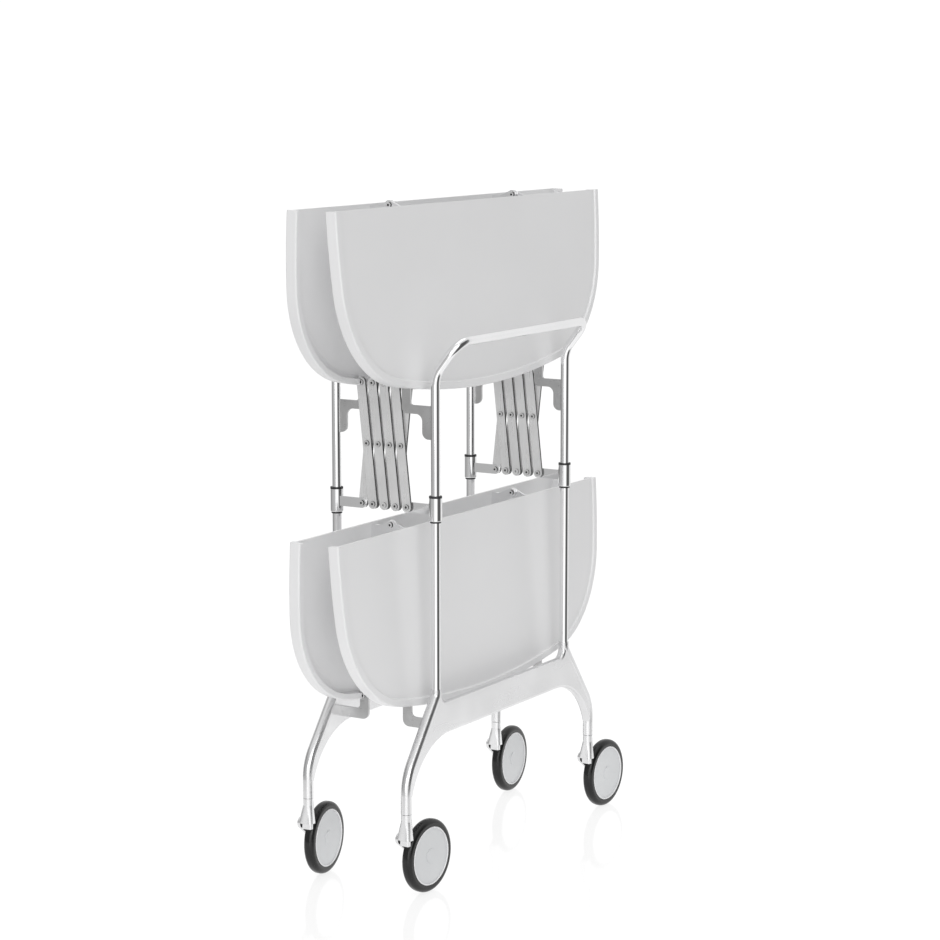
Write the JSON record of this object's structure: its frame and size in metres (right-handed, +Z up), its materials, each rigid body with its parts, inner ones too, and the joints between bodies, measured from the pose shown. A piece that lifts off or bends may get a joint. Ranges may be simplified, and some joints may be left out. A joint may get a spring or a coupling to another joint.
{
  "type": "folding bar cart",
  "caption": "Folding serving cart: half-round tray leaves hinged in the middle, tube end frames with handles, lazy tongs and swivel castors, stored folded.",
  "frame": {"origin": "on the floor under the middle of the folded cart", "axes": "+Z up, +X along the tray hinge lines, -Y towards the front end frame"},
  "size_m": [0.66, 0.23, 0.878],
  "materials": {
    "tray_plastic": "smooth satin",
    "chrome_tube": "polished",
    "chrome_collar": "polished",
    "black_plastic": "matt",
    "polished_casting": "polished",
    "wheel_disc": "satin",
    "tyre": "matt",
    "steel": "bright",
    "link_steel": "satin",
    "bracket_steel": "satin",
    "hinge_steel": "satin"
  },
  "bodies": {
    "front_frame": {"front_tube_frame": "chrome_tube", "front_casting": "polished_casting", "front_tray_brackets": "bracket_steel", "front_pivot_pins": "steel"},
    "front_collars": {"front_left_collar": "chrome_collar", "front_right_collar": "chrome_collar", "front_collar_bushes": "black_plastic"},
    "front_upper_tray": {"front_upper_leaf": "tray_plastic", "front_upper_hinge_lugs": "hinge_steel", "upper_hinge_pins": "steel"},
    "front_lower_tray": {"front_lower_leaf": "tray_plastic", "front_lower_hinge_lugs": "hinge_steel", "lower_hinge_pins": "steel"},
    "rear_frame": {"rear_tube_frame": "chrome_tube", "rear_casting": "polished_casting", "rear_tray_brackets": "bracket_steel", "rear_pivot_pins": "steel"},
    "rear_collars": {"rear_left_collar": "chrome_collar", "rear_right_collar": "chrome_collar", "rear_collar_bushes": "black_plastic"},
    "rear_upper_tray": {"rear_upper_leaf": "tray_plastic", "rear_upper_hinge_lugs": "hinge_steel"},
    "rear_lower_tray": {"rear_lower_leaf": "tray_plastic", "rear_lower_hinge_lugs": "hinge_steel"},
    "falling_links_1": {"left_falling_link_1": "link_steel", "right_falling_link_1": "link_steel"},
    "rising_links_1": {"left_rising_link_1": "link_steel", "right_rising_link_1": "link_steel", "tongs_rivets_1": "steel"},
    "falling_links_2": {"left_falling_link_2": "link_steel", "right_falling_link_2": "link_steel"},
    "rising_links_2": {"left_rising_link_2": "link_steel", "right_rising_link_2": "link_steel", "tongs_rivets_2": "steel"},
    "falling_links_3": {"left_falling_link_3": "link_steel", "right_falling_link_3": "link_steel", "tongs_rivets_3": "steel"},
    "rising_links_3": {"left_rising_link_3": "link_steel", "right_rising_link_3": "link_steel"},
    "falling_links_4": {"left_falling_link_4": "link_steel", "right_falling_link_4": "link_steel", "tongs_rivets_4": "steel"},
    "rising_links_4": {"left_rising_link_4": "link_steel", "right_rising_link_4": "link_steel"},
    "front_left_castor": {"front_left_castor_fork": "polished_casting", "front_left_axle": "steel"},
    "front_left_wheel": {"front_left_wheel_hub": "wheel_disc", "front_left_tyre": "tyre"},
    "front_right_castor": {"front_right_castor_fork": "polished_casting", "front_right_axle": "steel"},
    "front_right_wheel": {"front_right_wheel_hub": "wheel_disc", "front_right_tyre": "tyre"},
    "rear_left_castor": {"rear_left_castor_fork": "polished_casting", "rear_left_axle": "steel"},
    "rear_left_wheel": {"rear_left_wheel_hub": "wheel_disc", "rear_left_tyre": "tyre"},
    "rear_right_castor": {"rear_right_castor_fork": "polished_casting", "rear_right_axle": "steel"},
    "rear_right_wheel": {"rear_right_wheel_hub": "wheel_disc", "rear_right_tyre": "tyre"}
  },
  "joints": [
    {"name": "unfold", "type": "hinge", "parent": "front_frame", "child": "front_upper_tray", "pos_m": [0, -0.034, 0.647], "axis": [-1, 0, 0], "range_deg": [0, 86.7]},
    {"name": "upper_centre_hinge", "type": "hinge", "parent": "front_upper_tray", "child": "rear_upper_tray", "pos_m": [0, 0, 0.872], "axis": [1, 0, 0], "range_deg": [0, 173.4]},
    {"name": "rear_upper_leaf_pivot", "type": "hinge", "parent": "rear_upper_tray", "child": "rear_frame", "pos_m": [0, 0.034, 0.647], "axis": [-1, 0, 0], "range_deg": [0, 86.7]},
    {"name": "front_lower_leaf_pivot", "type": "hinge", "parent": "front_frame", "child": "front_lower_tray", "pos_m": [0, -0.034, 0.238], "axis": [-1, 0, 0], "range_deg": [0, 86.7]},
    {"name": "rear_lower_leaf_pivot", "type": "hinge", "parent": "rear_frame", "child": "rear_lower_tray", "pos_m": [0, 0.034, 0.238], "axis": [1, 0, 0], "range_deg": [0, 86.7]},
    {"name": "falling_links_1_pivot", "type": "hinge", "parent": "rear_frame", "child": "falling_links_1", "pos_m": [0, 0.034, 0.647], "axis": [-1, 0, 0], "range_deg": [0, 40]},
    {"name": "rising_links_1_pivot", "type": "hinge", "parent": "falling_links_1", "child": "rising_links_1", "pos_m": [0, 0.0255, 0.569], "axis": [1, 0, 0], "range_deg": [0, 80]},
    {"name": "rear_collars_pivot", "type": "hinge", "parent": "rising_links_1", "child": "rear_collars", "pos_m": [0, 0.034, 0.491], "axis": [-1, 0, 0], "range_deg": [0, 40]},
    {"name": "falling_links_2_pivot", "type": "hinge", "parent": "rising_links_1", "child": "falling_links_2", "pos_m": [0, 0.017, 0.647], "axis": [-1, 0, 0], "range_deg": [0, 80]},
    {"name": "rising_links_2_pivot", "type": "hinge", "parent": "falling_links_2", "child": "rising_links_2", "pos_m": [0, 0.0085, 0.569], "axis": [1, 0, 0], "range_deg": [0, 80]},
    {"name": "rising_links_4_pivot", "type": "hinge", "parent": "front_frame", "child": "rising_links_4", "pos_m": [0, -0.034, 0.647], "axis": [1, 0, 0], "range_deg": [0, 40]},
    {"name": "falling_links_4_pivot", "type": "hinge", "parent": "rising_links_4", "child": "falling_links_4", "pos_m": [0, -0.0255, 0.569], "axis": [-1, 0, 0], "range_deg": [0, 80]},
    {"name": "front_collars_pivot", "type": "hinge", "parent": "falling_links_4", "child": "front_collars", "pos_m": [0, -0.034, 0.491], "axis": [1, 0, 0], "range_deg": [0, 40]},
    {"name": "falling_links_3_pivot", "type": "hinge", "parent": "rising_links_4", "child": "falling_links_3", "pos_m": [0, -0.017, 0.491], "axis": [-1, 0, 0], "range_deg": [0, 80]},
    {"name": "rising_links_3_pivot", "type": "hinge", "parent": "falling_links_3", "child": "rising_links_3", "pos_m": [0, -0.0085, 0.569], "axis": [1, 0, 0], "range_deg": [0, 80]},
    {"name": "front_left_swivel", "type": "hinge", "parent": "front_frame", "child": "front_left_castor", "pos_m": [-0.2382, -0.075, 0.1122], "axis": [0, 0, 1], "continuous": true},
    {"name": "front_left_roll", "type": "hinge", "parent": "front_left_castor", "child": "front_left_wheel", "pos_m": [-0.19428, -0.07769, 0.0475], "axis": [0.061, 0.9981, 0], "continuous": true},
    {"name": "front_right_swivel", "type": "hinge", "parent": "front_frame", "child": "front_right_castor", "pos_m": [0.2382, -0.075, 0.1122], "axis": [0, 0, 1], "continuous": true},
    {"name": "front_right_roll", "type": "hinge", "parent": "front_right_castor", "child": "front_right_wheel", "pos_m": [0.28216, -0.07692, 0.0475], "axis": [0.0436, 0.999, 0], "continuous": true},
    {"name": "rear_left_swivel", "type": "hinge", "parent": "rear_frame", "child": "rear_left_castor", "pos_m": [-0.2382, 0.075, 0.1122], "axis": [0, 0, 1], "continuous": true},
    {"name": "rear_left_roll", "type": "hinge", "parent": "rear_left_castor", "child": "rear_left_wheel", "pos_m": [-0.19453, 0.08036, 0.0475], "axis": [-0.1219, 0.9925, 0], "continuous": true},
    {"name": "rear_right_swivel", "type": "hinge", "parent": "rear_frame", "child": "rear_right_castor", "pos_m": [0.2382, 0.075, 0.1122], "axis": [0, 0, 1], "continuous": true},
    {"name": "rear_right_roll", "type": "hinge", "parent": "rear_right_castor", "child": "rear_right_wheel", "pos_m": [0.28209, 0.07807, 0.0475], "axis": [-0.0698, 0.9976, 0], "continuous": true}
  ],
  "couplings": [
    {"joint": "upper_centre_hinge", "follows": "unfold", "ratio": 2},
    {"joint": "rear_upper_leaf_pivot", "follows": "unfold", "ratio": 1},
    {"joint": "front_lower_leaf_pivot", "follows": "unfold", "ratio": 1},
    {"joint": "rear_lower_leaf_pivot", "follows": "unfold", "ratio": 1},
    {"joint": "falling_links_1_pivot", "follows": "unfold", "ratio": 0.46133},
    {"joint": "rising_links_1_pivot", "follows": "unfold", "ratio": 0.92265},
    {"joint": "rear_collars_pivot", "follows": "unfold", "ratio": 0.46133},
    {"joint": "falling_links_2_pivot", "follows": "unfold", "ratio": 0.92265},
    {"joint": "rising_links_2_pivot", "follows": "unfold", "ratio": 0.92265},
    {"joint": "rising_links_4_pivot", "follows": "unfold", "ratio": 0.46133},
    {"joint": "falling_links_4_pivot", "follows": "unfold", "ratio": 0.92265},
    {"joint": "front_collars_pivot", "follows": "unfold", "ratio": 0.46133},
    {"joint": "falling_links_3_pivot", "follows": "unfold", "ratio": 0.92265},
    {"joint": "rising_links_3_pivot", "follows": "unfold", "ratio": 0.92265}
  ]
}
